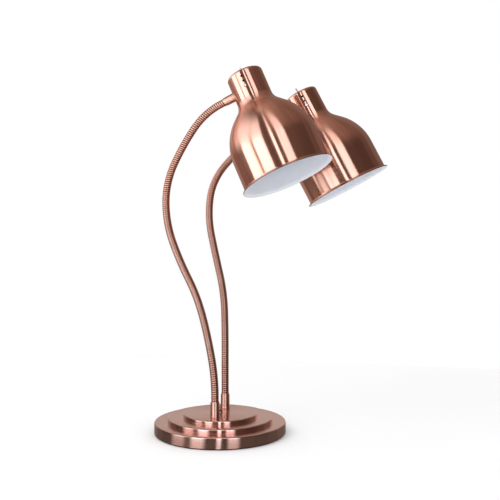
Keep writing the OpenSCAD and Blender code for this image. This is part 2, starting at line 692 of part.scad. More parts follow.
module front_upper_ferrule() { on_front_head() upper_ferrule(); }
module front_ferrule_nut() { on_front_head() ferrule_nut(); }
module front_shade() { on_front_head() shade(); }
module front_bracket() { on_front_head() bracket(); }
module front_bracket_screws() { on_front_head() bracket_screws(); }
module front_lampholder() { on_front_head() lampholder(); }
module front_screw_shell() { on_front_head() screw_shell(); }
module front_holder_screws() { on_front_head() holder_screws(); }
module front_bulb_glass() { on_front_head() bulb_glass(); }
module front_bulb_cap() { on_front_head() bulb_cap(); }
module front_switch_body() { on_front_head() head_switch_body(); }
module front_switch_nut() { on_front_head() head_switch_nut(); }
module front_switch_lever() { on_front_head() head_switch_lever(); }
module back_upper_ferrule() { on_back_head() upper_ferrule(); }
module back_ferrule_nut() { on_back_head() ferrule_nut(); }
module back_shade() { on_back_head() shade(); }
module back_bracket() { on_back_head() bracket(); }
module back_bracket_screws() { on_back_head() bracket_screws(); }
module back_lampholder() { on_back_head() lampholder(); }
module back_screw_shell() { on_back_head() screw_shell(); }
module back_holder_screws() { on_back_head() holder_screws(); }
module back_bulb_glass() { on_back_head() bulb_glass(); }
module back_bulb_cap() { on_back_head() bulb_cap(); }
module back_switch_body() { on_back_head() head_switch_body(); }
module back_switch_nut() { on_back_head() head_switch_nut(); }
module back_switch_lever() { on_back_head() head_switch_lever(); }

base_cover();
base_ballast();
base_plate();
base_pad();
plate_screws();
cable_gland();
gland_nut();
terminal_block();
terminal_screws();
power_switch_body();
power_switch_nut();
power_switch_lever();
front_lower_ferrule();
back_lower_ferrule();
arm_washers();
arm_nuts();
front_link(1);  // front_gooseneck_1
front_link(2);  // front_gooseneck_2
front_link(3);  // front_gooseneck_3
front_link(4);  // front_gooseneck_4
front_link(5);  // front_gooseneck_5
front_link(6);  // front_gooseneck_6
front_link(7);  // front_gooseneck_7
front_link(8);  // front_gooseneck_8
back_link(1);  // back_gooseneck_1
back_link(2);  // back_gooseneck_2
back_link(3);  // back_gooseneck_3
back_link(4);  // back_gooseneck_4
back_link(5);  // back_gooseneck_5
back_link(6);  // back_gooseneck_6
back_link(7);  // back_gooseneck_7
back_link(8);  // back_gooseneck_8
front_upper_ferrule();
front_ferrule_nut();
front_shade();
front_bracket();
front_bracket_screws();
front_lampholder();
front_screw_shell();
front_holder_screws();
front_bulb_glass();
front_bulb_cap();
front_switch_body();
front_switch_nut();
front_switch_lever();
back_upper_ferrule();
back_ferrule_nut();
back_shade();
back_bracket();
back_bracket_screws();
back_lampholder();
back_screw_shell();
back_holder_screws();
back_bulb_glass();
back_bulb_cap();
back_switch_body();
back_switch_nut();
back_switch_lever();
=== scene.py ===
from math import cos, hypot, pi, radians, sin, tan

import bmesh
import bpy
from mathutils import Matrix, Vector


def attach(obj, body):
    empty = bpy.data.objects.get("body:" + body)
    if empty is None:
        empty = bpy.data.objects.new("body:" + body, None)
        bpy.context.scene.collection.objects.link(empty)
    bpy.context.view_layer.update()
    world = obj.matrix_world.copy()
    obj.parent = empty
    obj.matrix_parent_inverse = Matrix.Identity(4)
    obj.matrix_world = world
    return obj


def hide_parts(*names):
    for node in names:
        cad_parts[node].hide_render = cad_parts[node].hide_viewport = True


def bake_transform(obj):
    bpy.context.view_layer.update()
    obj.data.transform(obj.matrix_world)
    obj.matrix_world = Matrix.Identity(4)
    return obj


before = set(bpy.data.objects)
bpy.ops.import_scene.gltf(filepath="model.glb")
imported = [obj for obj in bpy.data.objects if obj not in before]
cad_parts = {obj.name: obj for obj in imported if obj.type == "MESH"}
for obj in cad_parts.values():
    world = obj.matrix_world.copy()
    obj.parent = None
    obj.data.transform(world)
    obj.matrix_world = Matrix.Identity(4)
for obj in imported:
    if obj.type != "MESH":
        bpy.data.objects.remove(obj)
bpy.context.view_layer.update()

scene = bpy.context.scene
scene.view_settings.view_transform = "Standard"
mm = 0.001
tiny = 1e-6


# Shader maths: a socket that can be added, taken away and multiplied like a number
class Value:
    def __init__(self, finish, socket):
        self.finish, self.socket = finish, socket

    def maths(self, operation, other, swapped=False):
        first, second = (other, self) if swapped else (self, other)
        return self.finish.node("ShaderNodeMath", {"operation": operation}, {0: first, 1: second})

    def __add__(self, other):
        return self.maths("ADD", other)

    def __radd__(self, other):
        return self.maths("ADD", other, True)

    def __sub__(self, other):
        return self.maths("SUBTRACT", other)

    def __rsub__(self, other):
        return self.maths("SUBTRACT", other, True)

    def __mul__(self, other):
        return self.maths("MULTIPLY", other)

    def __rmul__(self, other):
        return self.maths("MULTIPLY", other, True)


# One material and the nodes it is made of
class Finish:
    def __init__(self, name):
        self.material = bpy.data.materials.new(name)
        self.material.use_nodes = True
        self.tree = self.material.node_tree
        self.tree.nodes.clear()
        self.surface = self.node("ShaderNodeBsdfPrincipled")
        self.node("ShaderNodeOutputMaterial", {}, {"Surface": self.surface}, None)

    def node(self, kind, settings=None, inputs=None, output=0):
        made = self.tree.nodes.new(kind)
        for key, setting in (settings or {}).items():
            if key == "stops":
                ramp = made.color_ramp.elements
                while len(ramp) < len(setting):
                    ramp.new(0.5)
                for stop, (place, colour) in zip(ramp, setting):
                    stop.position, stop.color = place, colour
            else:
                setattr(made, key, setting)
        self.fill(made, inputs or {})
        return None if output is None else Value(self, made.outputs[output])

    def fill(self, made, inputs):
        for key, given in inputs.items():
            if isinstance(given, Value):
                self.tree.links.new(given.socket, made.inputs[key])
            else:
                made.inputs[key].default_value = given

    def set(self, inputs):
        self.fill(self.surface.socket.node, inputs)
        return self.material

    def mix(self, factor, first, second):
        return self.node("ShaderNodeMix", {"data_type": "RGBA"}, {0: factor, 6: first, 7: second}, 2)

    def noise(self, where, scale, detail=2.0):
        return self.node("ShaderNodeTexNoise", {}, {"Vector": where, "Scale": scale, "Detail": detail})

    def stretch(self, source, low, high):
        return self.node("ShaderNodeMapRange", {"interpolation_type": "SMOOTHSTEP"},
                         {"Value": source, "From Min": low, "From Max": high})

    def bump(self, height, distance):
        return self.node("ShaderNodeBump", {}, {"Height": height, "Distance": distance})

    def objectPlace(self, size=(1, 1, 1)):
        place = self.node("ShaderNodeTexCoord", {}, {}, "Object")
        return self.node("ShaderNodeMapping", {}, {"Vector": place, "Scale": size})

    def turnedPlace(self, roundSize, alongSize):
        # a turned piece's pattern map: once round it, and metres along its section
        pattern = self.node("ShaderNodeUVMap", {"uv_map": "pattern"})
        parts = self.node("ShaderNodeSeparateXYZ", {}, {"Vector": pattern}).socket.node
        turn, along = Value(self, parts.outputs[0]) * (2 * pi), Value(self, parts.outputs[1])
        wave = [self.node("ShaderNodeMath", {"operation": kind}, {0: turn}) for kind in ("COSINE", "SINE")]
        return self.node("ShaderNodeCombineXYZ", {},
                         {0: wave[0] * roundSize, 1: wave[1] * roundSize, 2: along * alongSize})


# Spun copper: the shades, the base cover and the ferrules
copper = {
    "colour": (0.86, 0.43, 0.295, 1), "tarnish": (0.66, 0.27, 0.165, 1), "tarnishShare": 0.22,
    "roughness": 0.19, "unevenness": 0.03, "spread": 1.0, "brushTurn": 0.25,
    "streakRound": 14, "streakAlong": 10, "streakDetail": 4.0, "streakEdges": (0.36, 0.66),
    "grainRound": 5, "grainAlong": 2400, "grainDetail": 3.0, "grainDepth": 0.00002,
}


def spunCopper(name, changes=None):
    # brush marks run round the piece, so its reflections stretch along it
    s = dict(copper, **(changes or {}))
    f = Finish(name)
    streakPlace = f.turnedPlace(s["streakRound"], s["streakAlong"])
    streaks = f.stretch(f.noise(streakPlace, 1.0, s["streakDetail"]), *s["streakEdges"])
    grain = f.noise(f.turnedPlace(s["grainRound"], s["grainAlong"]), 1.0, s["grainDetail"])
    uneven = s["unevenness"]
    return f.set({
        "Base Color": f.mix(streaks * s["tarnishShare"], s["colour"], s["tarnish"]), "Metallic": 1.0,
        "Roughness": streaks * uneven + grain * uneven + (s["roughness"] - uneven),
        "Anisotropic": s["spread"], "Anisotropic Rotation": s["brushTurn"],
        "Tangent": f.node("ShaderNodeTangent", {"direction_type": "UV_MAP", "uv_map": "pattern"}),
        "Normal": f.bump(grain, s["grainDepth"])})


# Wound copper: the goosenecks' plated wire, clean on the crests, rougher in the grooves and painted dark
# there as painted shade
woundLook = {
    "groove": (0.09, 0.03, 0.02, 1), "crestEdges": (0.1, 0.6), "roughness": 0.38, "crestPolish": 0.16,
    "blotchScale": 45.0, "blotchDetail": 3.0, "blotchEdges": (0.35, 0.7), "blotchShare": 0.3,
    "blotchDullness": 0.03, "grainScale": 900.0, "grainDepth": 0.00001,
}


def woundCopper(name):
    s, f = woundLook, Finish(name)
    ridge = f.node("ShaderNodeAttribute", {"attribute_name": "ridge"}, {}, "Fac")
    crest = f.stretch(ridge, *s["crestEdges"])
    blotch = f.stretch(f.noise(f.objectPlace(), s["blotchScale"], s["blotchDetail"]), *s["blotchEdges"])
    worn = f.mix(blotch * s["blotchShare"], copper["colour"], copper["tarnish"])
    return f.set({
        # the grooves' near-black colour is painted shade between the turns
        "Base Color": f.mix(crest, s["groove"], worn), "Metallic": 1.0,
        "Roughness": s["roughness"] - crest * s["crestPolish"] + blotch * s["blotchDullness"],
        "Normal": f.bump(f.noise(f.objectPlace(), s["grainScale"]), s["grainDepth"])})


# Other metals: plated and turned, with faint spots
metalLook = {
    "spotScale": 120.0, "spotDetail": 4.0, "spotEdges": (0.4, 0.75), "spotShare": 0.5, "spotDullness": 0.12,
    "grainScale": (1500, 1500, 1500), "grainDullness": 0.08, "grainDepth": 0.00001, "polish": 0.06,
}


def metal(name, colour, dull, roughness):
    s, f = metalLook, Finish(name)
    spots = f.stretch(f.noise(f.objectPlace(), s["spotScale"], s["spotDetail"]), *s["spotEdges"])
    grain = f.noise(f.objectPlace(s["grainScale"]), 1.0)
    return f.set({
        "Base Color": f.mix(spots * s["spotShare"], colour, dull), "Metallic": 1.0,
        "Roughness": spots * s["spotDullness"] + grain * s["grainDullness"] + (roughness - s["polish"]),
        "Normal": f.bump(grain, s["grainDepth"])})


# Moulded, cast, painted and fired surfaces
plainLook = {
    "cloudDetail": 4.0, "cloudEdges": (0.35, 0.7), "cloudDullness": 0.1, "cloudHeight": 0.3,
    "grainDetail": 3.0, "grainDullness": 0.08,
}


def plain(name, colour, second, roughness, clouds, depth, fine=1400.0):
    s, f = plainLook, Finish(name)
    cloud = f.stretch(f.noise(f.objectPlace(), clouds, s["cloudDetail"]), *s["cloudEdges"])
    grain = f.noise(f.objectPlace(), fine, s["grainDetail"])
    dullness = s["grainDullness"]
    return f.set({
        "Base Color": f.mix(cloud, colour, second),
        "Roughness": cloud * s["cloudDullness"] + grain * dullness + (roughness - dullness),
        "Normal": f.bump(cloud * s["cloudHeight"] + grain, depth)})


shadeCopper = spunCopper("spun copper, shade")
# the rolled rim's underside: dull copper painted near black, its colour and its tarnish both, as painted
# shade under the bead
paintedShadeRimCopper = spunCopper("dull copper, rolled edge in painted shade", {
    "colour": (0.2, 0.1, 0.08, 1), "tarnish": (0.1, 0.05, 0.04, 1), "roughness": 0.35})
baseCopper = spunCopper("spun copper, base", {
    "colour": (0.84, 0.46, 0.355, 1), "tarnish": (0.62, 0.31, 0.22, 1), "roughness": 0.16,
    "streakRound": 22, "streakAlong": 30, "grainDepth": 0.00001})
ferruleCopper = spunCopper("turned copper", {"streakRound": 4, "streakAlong": 60, "grainRound": 2})
hoseCopper = woundCopper("wound copper")
enamel = plain("white enamel", (0.84, 0.86, 0.92, 1), (0.80, 0.82, 0.88, 1),
               roughness=0.38, clouds=30.0, depth=0.00002, fine=350.0)
nickel = metal("nickel", (0.72, 0.70, 0.67, 1), (0.5, 0.48, 0.46, 1), roughness=0.24)
zinc = metal("zinc plate", (0.62, 0.63, 0.64, 1), (0.42, 0.42, 0.42, 1), roughness=0.38)
brass = metal("brass", (0.78, 0.57, 0.26, 1), (0.5, 0.33, 0.13, 1), roughness=0.3)
castIron = plain("cast iron", (0.055, 0.055, 0.058, 1), (0.03, 0.03, 0.032, 1),
                 roughness=0.75, clouds=60.0, depth=0.0001, fine=700.0)
rubber = plain("rubber", (0.018, 0.018, 0.019, 1), (0.028, 0.028, 0.03, 1),
               roughness=0.72, clouds=50.0, depth=0.00005, fine=900.0)
blackPlastic = plain("black plastic", (0.018, 0.018, 0.02, 1), (0.026, 0.026, 0.028, 1),
                     roughness=0.42, clouds=80.0, depth=0.00002)
ivoryPlastic = plain("ivory plastic", (0.78, 0.74, 0.62, 1), (0.72, 0.67, 0.55, 1),
                     roughness=0.4, clouds=70.0, depth=0.00002)
ceramic = plain("fired ceramic", (0.82, 0.79, 0.72, 1), (0.76, 0.72, 0.64, 1),
                roughness=0.3, clouds=40.0, depth=0.00002)
frosted = plain("frosted glass", (0.80, 0.81, 0.80, 1), (0.76, 0.77, 0.77, 1),
                roughness=0.26, clouds=60.0, depth=0.00001)
print("finishes made")


# Shapes, in mm until they become a mesh
turning = {
    # a straight run longer than longRun gets narrow bands at its ends, which keep its edges crisp
    "around": 160, "longest": 6.0, "longRun": 2.5, "edgeBand": 0.35, "samePoint": 0.0001, "sharpAngle": 40,
}


def arc(centre, radius, start, end, steps):
    # points on an arc of a section: 0 degrees is away from the axis, 90 is up
    turns = [radians(start + (end - start) * i / steps) for i in range(steps + 1)]
    return [(centre[0] + radius * cos(t), centre[1] + radius * sin(t)) for t in turns]


def finished(points, finish=0):
    # points of a section with the number of the finish that starts at each
    return [(r, h, finish) for r, h in points]


def finishMesh(name, mesh, finishes):
    piece = bpy.data.objects.new(name, mesh)
    scene.collection.objects.link(piece)
    for finish in finishes:
        mesh.materials.append(finish)
    return piece


def divided(section, longest):
    # the section's points, with more of them along its long runs
    points, band = [], turning["edgeBand"]
    for (r, h, f), (r2, h2, _) in zip(section, section[1:] + section[:1]):
        length = hypot(r2 - r, h2 - h)
        if length < turning["samePoint"]:
            continue
        marks = [0.0]
        if length > turning["longRun"] and not r == r2 == 0:
            parts = max(1, round(length / longest))
            marks = [0.0, band / length] + [i / parts for i in range(1, parts)] + [1 - band / length]
        points += [(r + (r2 - r) * m, h + (h2 - h) * m, f) for m in marks]
    return points


def turned(name, section, place, finishes, around=turning["around"], longest=turning["longest"]):
    # section: a closed ring of (radius, height, finish), turned round the height axis of place
    ring = divided(section, longest)
    turns = [2 * pi * i / around for i in range(around)]
    rows, vertices, faces, uvs, kinds = [], [], [], [], []
    for r, h, _ in ring:
        count = 1 if r < tiny else around
        rows.append([len(vertices) + i for i in range(count)])
        vertices += [place @ Vector((r * cos(t), r * sin(t), h)) * mm for t in turns[:count]]
    along = 0.0
    for k, (r, h, f) in enumerate(ring):
        r2, h2, _ = ring[(k + 1) % len(ring)]
        low, high = rows[k], rows[(k + 1) % len(ring)]
        nextAlong = along + hypot(r2 - r, h2 - h) * mm
        if len(low) > 1 or len(high) > 1:
            for i in range(around):
                u, u2, j = i / around, (i + 1) / around, (i + 1) % around
                corners = [(low[i % len(low)], (u, along)), (low[j % len(low)], (u2, along)),
                           (high[j % len(high)], (u2, nextAlong)), (high[i % len(high)], (u, nextAlong))]
                if len(low) == 1:
                    del corners[1]
                if len(high) == 1:
                    del corners[2]
                faces.append([c[0] for c in corners])
                uvs += [c[1] for c in corners]
                kinds.append(f)
        along = nextAlong
    mesh = bpy.data.meshes.new(name)
    mesh.from_pydata(vertices, [], faces)
    mesh.uv_layers.new(name="pattern").uv.foreach_set("vector", [x for pair in uvs for x in pair])
    mesh.polygons.foreach_set("material_index", kinds)
    mesh.polygons.foreach_set("use_smooth", [True] * len(faces))
    outwards(mesh)
    return finishMesh(name, mesh, finishes)


def outwards(mesh):
    work = bmesh.new()
    work.from_mesh(mesh)
    bmesh.ops.recalc_face_normals(work, faces=work.faces)
    if work.calc_volume(signed=True) < 0:
        bmesh.ops.reverse_faces(work, faces=work.faces)
    work.to_mesh(mesh)
    work.free()


def carve(piece, cutter, *others):
    # takes the cutters' shapes out of the piece, then drops the cutters
    work = bmesh.new()
    for one in (cutter, *others):
        work.from_mesh(one.data)
    work.to_mesh(cutter.data)
    work.free()
    for one in others:
        bpy.data.objects.remove(one)
    cut = piece.modifiers.new("cut", "BOOLEAN")
    cut.operation, cut.solver, cut.object = "DIFFERENCE", "EXACT", cutter
    baked(piece)
    piece.data.set_sharp_from_angle(angle=radians(turning["sharpAngle"]))
    bpy.data.objects.remove(cutter)


def baked(piece):
    # turns a piece's modifiers into plain mesh
    evaluated = piece.evaluated_get(bpy.context.evaluated_depsgraph_get())
    mesh = bpy.data.meshes.new_from_object(evaluated)
    piece.modifiers.clear()
    piece.data = mesh
    return piece


def dress(finish, *nodes):
    for node in nodes:
        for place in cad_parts[node].material_slots:
            place.material = finish


# Arms: where each gooseneck runs, in mm from the surface the lamp stands on
arms = {
    "front": {"side": -1, "heading": -4, "roll": 6, "bends": [-11, -6, -13.5, 6.5, 19.5, 27.5, 10.5, 32],
              "leans": [2.5, 2.5, 2, 1.5, 1, 0.5, 0, -0.5]},
    "back": {"side": 1, "heading": 17, "roll": 5, "bends": [0.5, -1.5, -11, 1.5, 17.5, 32, 13, 13],
             "leans": [7, 4.5, 3, 2, 1, -1.5, -5.5, -9.5]},
}
armSizes = {"spacing": 76, "rise": 66, "linkLength": 79, "straight": 8, "links": 8}


def bendStep(length, bend, lean):
    # the change of place along an arc that bends towards X and leans towards Y
    turn = radians(hypot(bend, lean))
    if turn < tiny:
        return Matrix.Translation((0, 0, length))
    x, y = bend / hypot(bend, lean), lean / hypot(bend, lean)
    radius = length / turn
    shift = Vector((x * radius * (1 - cos(turn)), y * radius * (1 - cos(turn)), radius * sin(turn)))
    return Matrix.Translation(shift) @ Matrix.Rotation(turn, 4, Vector((-y, x, 0)))


def armPlace(arm, distance):
    # the place at a distance along the gooseneck, with Z along it
    sizes = armSizes
    place = Matrix.Translation((0, arm["side"] * sizes["spacing"] / 2, sizes["rise"])) @ \
        Matrix.Rotation(radians(arm["heading"]), 4, "Z")
    if distance <= sizes["straight"]:
        return place @ Matrix.Translation((0, 0, distance))
    place = place @ Matrix.Translation((0, 0, sizes["straight"]))
    left = distance - sizes["straight"]
    for k in range(sizes["links"]):
        arcLength = sizes["linkLength"] - (sizes["straight"] if k in (0, sizes["links"] - 1) else 0)
        share = min(1.0, left / arcLength)
        place = place @ bendStep(arcLength * share, arm["bends"][k] * share, arm["leans"][k] * share)
        left -= arcLength * share
        if share < 1.0:
            return place
    return place @ Matrix.Translation((0, 0, left))


# Camera, in the direction the photograph was taken from
view = {"place": (0.3694, -1.4034, 0.3853), "heading": 12.5, "pitch": -1.485, "lens": 55, "sensor": 36}
cameraData = bpy.data.cameras.new("camera")
cameraData.lens, cameraData.sensor_width = view["lens"], view["sensor"]
camera = bpy.data.objects.new("camera", cameraData)
camera.location = view["place"]
camera.rotation_euler = (radians(90 + view["pitch"]), 0, radians(view["heading"]))
scene.collection.objects.link(camera)
scene.camera = camera


# Base cover: three spun tiers with rolled edges
cover = {
    "outer": 125, "middle": 100, "top": 70.5, "foot": 2.5, "heights": (22.5, 30.5, 38), "wall": 1.5,
    "edge": 2.6, "edgeSteps": 8, "around": 220, "longest": 5.0,
}


def coverSection(inset):
    # from the foot up to the middle, set in by the wall for the inside
    edge, radii = cover["edge"], (cover["outer"], cover["middle"], cover["top"], None)
    points = [(cover["outer"] - inset, cover["foot"])]
    for radius, step, height in zip(radii, radii[1:], cover["heights"]):
        points += arc((radius - edge, height - edge), edge - inset, 0, 90, cover["edgeSteps"])
        points.append((0 if step is None else step - inset, height - inset))
    return points


baseCover = turned("base_cover_spun", finished(coverSection(0) + coverSection(cover["wall"])[::-1]),
                   Matrix.Identity(4), [baseCopper], cover["around"], cover["longest"])
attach(baseCover, "stand")
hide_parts("base_cover")
print("base cover made")


# Shades: a spun shell with a rolled rim, copper outside and white inside
shade = {
    "mouthRadius": 90, "skirtRadius": 85, "skirtHeight": 62, "shoulderRadius": 100, "throatRadius": 28,
    "slope": 45, "neckRadius": 35, "neckLength": 53, "wall": 1.2, "crownRadius": 6, "beadRadius": 1.0,
    "lipSteps": 8, "shoulderSteps": 20, "throatSteps": 14, "crownSteps": 10, "around": 308, "longest": 3.0,
    # the bead rolls from the lip's upper face round to its lower one, and its first steps are dull and
    # painted dark, a painted shadow under the rim
    "beadFrom": 250, "beadTo": 455, "beadSteps": 12, "paintedShadeSteps": 7,
    "entryDrop": 32, "vents": 3, "ventDrop": 34, "ventPitch": 10, "ventWidth": 4, "ventReach": 50,
    "ventAround": 32, "ferruleLength": 21,
}
slope = radians(shade["slope"])
shoulderEnd = (shade["skirtRadius"] - shade["shoulderRadius"] * (1 - cos(slope)),
               shade["skirtHeight"] + shade["shoulderRadius"] * sin(slope))
throatStart = shade["neckRadius"] + shade["throatRadius"] * (1 - cos(slope))
neckStart = shoulderEnd[1] + (shoulderEnd[0] - throatStart) / tan(slope) + shade["throatRadius"] * sin(slope)
shade["height"] = neckStart + shade["neckLength"]
shade["entryHeight"] = shade["height"] - shade["entryDrop"]


def headPlace(arm):
    # the place of a shade's mouth, with Z up through its neck
    return armPlace(arm, armSizes["linkLength"] * armSizes["links"]) @ \
        Matrix.Rotation(radians(arm["roll"]), 4, "Z") @ Matrix.Rotation(radians(-90), 4, "Y") @ \
        Matrix.Translation((shade["ferruleLength"] + shade["neckRadius"], 0, -shade["entryHeight"]))


def shadeSection(inset):
    # from the lip up to the crown's middle, set in by the wall for the inside
    s = shade
    lip = s["mouthRadius"] - s["skirtRadius"] - s["beadRadius"] / 2
    lipCentre = (s["skirtRadius"] + lip, lip + s["wall"])
    shoulderCentre = (s["skirtRadius"] - s["shoulderRadius"], s["skirtHeight"])
    throatCentre = (s["neckRadius"] + s["throatRadius"], neckStart)
    crownCentre = (s["neckRadius"] - s["crownRadius"], s["height"] - s["crownRadius"])
    return (arc(lipCentre, lip + inset, 270, 180, s["lipSteps"])
            + arc(shoulderCentre, s["shoulderRadius"] - inset, 0, s["slope"], s["shoulderSteps"])
            + arc(throatCentre, s["throatRadius"] + inset, 180 + s["slope"], 180, s["throatSteps"])
            + arc(crownCentre, s["crownRadius"] - inset, 0, 90, s["crownSteps"])
            + [(0, s["height"] - inset)])


def ventHole(place, k):
    radius, reach = shade["ventWidth"] / 2, shade["ventReach"]
    height = shade["height"] - shade["ventDrop"] + k * shade["ventPitch"]
    return turned("hole", finished([(0, -reach), (radius, -reach), (radius, reach), (0, reach)]),
                  place @ Matrix.Translation((0, 0, height)) @ Matrix.Rotation(radians(90), 4, "X"),
                  [shadeCopper], shade["ventAround"])


def makeShade(side, place):
    s = shade
    bead = s["beadRadius"]
    rim = arc((s["mouthRadius"] - bead, bead), bead, s["beadFrom"], s["beadTo"], s["beadSteps"])
    copperSide, whiteSide, paintedShadeEdge = 0, 1, 2
    section = finished(shadeSection(s["wall"])[::-1], whiteSide)
    # the bead's first steps take the dark rim copper: painted shade under the lip
    section += finished(rim[:s["paintedShadeSteps"]], paintedShadeEdge)
    section += finished(rim[s["paintedShadeSteps"]:] + shadeSection(0)[1:], copperSide)
    piece = turned(side + "_shade_spun", section, place, [shadeCopper, enamel, paintedShadeRimCopper],
                   s["around"], s["longest"])
    carve(piece, *[ventHole(place, k) for k in range(s["vents"])])
    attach(piece, side + "_head")
    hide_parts(side + "_shade")


for side, arm in arms.items():
    makeShade(side, headPlace(arm))
print("shades made")


# Ferrules at both ends of each gooseneck
ferrule = {
    "foot": 18.4, "top": 17.0, "height": 28, "spigot": 10, "spigotEnd": -28, "bore": 3.2, "boreDepth": 12.3,
    "seat": 7.3, "seatDepth": 8.2, "around": 72, "footSteps": 5, "endSteps": 6,
    # the lower one: how far it stands off the cover, its edges, and the groove above its foot
    "lift": 0.02, "footEdge": 0.5, "footHeight": 2.0, "footStep": 0.35, "grooveEnd": 2.9, "grooveStep": 0.3,
    "topEdge": 0.7, "lowerLongest": 4.0,
    # the upper one: its tip, the flare behind it, and its wide end, which the neck's round wall cuts
    "tipWidth": 15.6, "tipEdge": 0.45, "flareStep": 0.35, "flareAt": 4.0, "headWidth": 17, "widenStep": 0.06,
    "widenAt": 15.5, "wideAt": 18, "intoNeck": 1.6, "upperLongest": 3.0,
    "neckGap": 0.1, "neckFrom": 140, "neckTo": 215, "neckAround": 180,
}


def lowerFerrule(side, arm):
    f = ferrule
    foot, top, spigot = f["foot"] / 2, f["top"] / 2, f["spigot"] / 2
    height, lift, footEdge, topEdge = f["height"], f["lift"], f["footEdge"], f["topEdge"]
    section = [(f["bore"], f["spigotEnd"]), (spigot, f["spigotEnd"]), (spigot, lift), (foot - footEdge, lift)]
    section += arc((foot - footEdge, lift + footEdge), footEdge, 270, 360, f["footSteps"])
    section += [(foot, f["footHeight"]), (foot - f["footStep"], f["footHeight"] + f["footStep"]),
                (foot - f["grooveStep"], f["grooveEnd"])]
    section += arc((top - topEdge, height - topEdge), topEdge, 5, 90, f["endSteps"])
    section += [(f["seat"], height), (f["seat"], height - f["seatDepth"]),
                (f["bore"], height - f["boreDepth"])]
    place = Matrix.Translation((0, arm["side"] * armSizes["spacing"] / 2, cover["heights"][-1]))
    piece = turned(side + "_lower_ferrule_turned", finished(section), place, [ferruleCopper],
                   f["around"], f["lowerLongest"])
    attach(piece, "stand")
    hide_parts(side + "_lower_ferrule")


def upperFerrule(side, arm):
    # lies along the gooseneck's end, its inner end running into the neck's round wall
    f, s = ferrule, shade
    tip, wide, end = f["tipWidth"] / 2, f["headWidth"] / 2, s["ferruleLength"] + f["intoNeck"]
    section = [(f["bore"], end), (f["bore"], f["boreDepth"]), (f["seat"], f["seatDepth"]), (f["seat"], 0)]
    section += arc((tip - f["tipEdge"], f["tipEdge"]), f["tipEdge"], 270, 350, f["endSteps"])
    section += [(tip + f["flareStep"], f["flareAt"]), (wide - f["widenStep"], f["widenAt"]),
                (wide, f["wideAt"]), (wide, end)]
    entry = Matrix.Translation((-s["neckRadius"] - s["ferruleLength"], 0, s["entryHeight"]))
    place = headPlace(arm) @ entry @ Matrix.Rotation(radians(90), 4, "Y")
    piece = turned(side + "_upper_ferrule_turned", finished(section), place, [ferruleCopper],
                   f["around"], f["upperLongest"])
    low, high, radius = f["neckFrom"], f["neckTo"], s["neckRadius"] + f["neckGap"]
    carve(piece, turned("neck", finished([(0, low), (radius, low), (radius, high), (0, high)]),
                        headPlace(arm), [ferruleCopper], f["neckAround"]))
    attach(piece, side + "_head")
    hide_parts(side + "_upper_ferrule")


for side, arm in arms.items():
    lowerFerrule(side, arm)
    upperFerrule(side, arm)
print("ferrules made")


# Goosenecks: a round wire wound round a liner, with a thin wire sunk between its turns
hose = {
    "radius": 7.35, "ridge": 0.75, "pitch": 4.1, "sides": 28, "ringStep": 0.36, "pathStep": 2.5,
    # the round wire's share of the pitch, how flat its crest is, and how high the thin wire reaches
    "wireShare": 0.7, "crestShape": 0.7, "thinHeight": 0.15,
}


class Tree:
    # one Geometry Nodes tree with named sizes
    def __init__(self, name, sizes):
        self.group = bpy.data.node_groups.new(name, "GeometryNodeTree")
        face = self.group.interface
        face.new_socket("Geometry", in_out="INPUT", socket_type="NodeSocketGeometry")
        face.new_socket("Geometry", in_out="OUTPUT", socket_type="NodeSocketGeometry")
        for label, kind in sizes.items():
            face.new_socket(label, in_out="INPUT", socket_type=kind)
        self.input = self.group.nodes.new("NodeGroupInput")
        self.output = self.group.nodes.new("NodeGroupOutput")

    def node(self, kind, settings=None, inputs=None):
        made = self.group.nodes.new(kind)
        for key, setting in (settings or {}).items():
            setattr(made, key, setting)
        for key, given in (inputs or {}).items():
            if isinstance(given, bpy.types.NodeSocket):
                self.group.links.new(given, made.inputs[key])
            else:
                made.inputs[key].default_value = given
        return made.outputs

    def maths(self, operation, first, second=0.0):
        return self.node("ShaderNodeMath", {"operation": operation}, {0: first, 1: second})[0]

    def store(self, geometry, name, value, kind="FLOAT"):
        return self.node("GeometryNodeStoreNamedAttribute", {"data_type": kind, "domain": "POINT"},
                         {"Geometry": geometry, "Name": name, "Value": value})[0]

    def read(self, name, kind="FLOAT"):
        return self.node("GeometryNodeInputNamedAttribute", {"data_type": kind}, {"Name": name})[0]

    def finish(self, geometry, material):
        real = self.node("GeometryNodeRealizeInstances", {}, {"Geometry": geometry})[0]
        dressed = self.node("GeometryNodeSetMaterial", {}, {"Geometry": real, "Material": material})[0]
        self.group.links.new(dressed, self.output.inputs[0])

    def apply(self, piece, values):
        modifier = piece.modifiers.new("nodes", "NODES")
        modifier.node_group = self.group
        for item in self.group.interface.items_tree:
            if item.in_out == "INPUT" and item.name in values:
                modifier[item.identifier] = values[item.name]
        return baked(piece)


def woundRidge(tree, pitch):
    # height from 0 in the groove to 1 on the crest, from the distance along and the turn round
    share = hose["wireShare"]
    phase = tree.maths("DIVIDE", tree.read("distance"), pitch)
    phase = tree.maths("FRACT", tree.maths("SUBTRACT", phase, tree.read("turn")))
    wire = tree.maths("SINE", tree.maths("MULTIPLY", phase, pi / share))
    thin = tree.maths("MULTIPLY", tree.maths("SUBTRACT", phase, share), pi / (1 - share))
    thin = tree.maths("MULTIPLY", tree.maths("SINE", thin), hose["thinHeight"])
    height = tree.maths("MAXIMUM", tree.maths("MAXIMUM", wire, thin), 0.0)
    return tree.maths("POWER", height, hose["crestShape"])


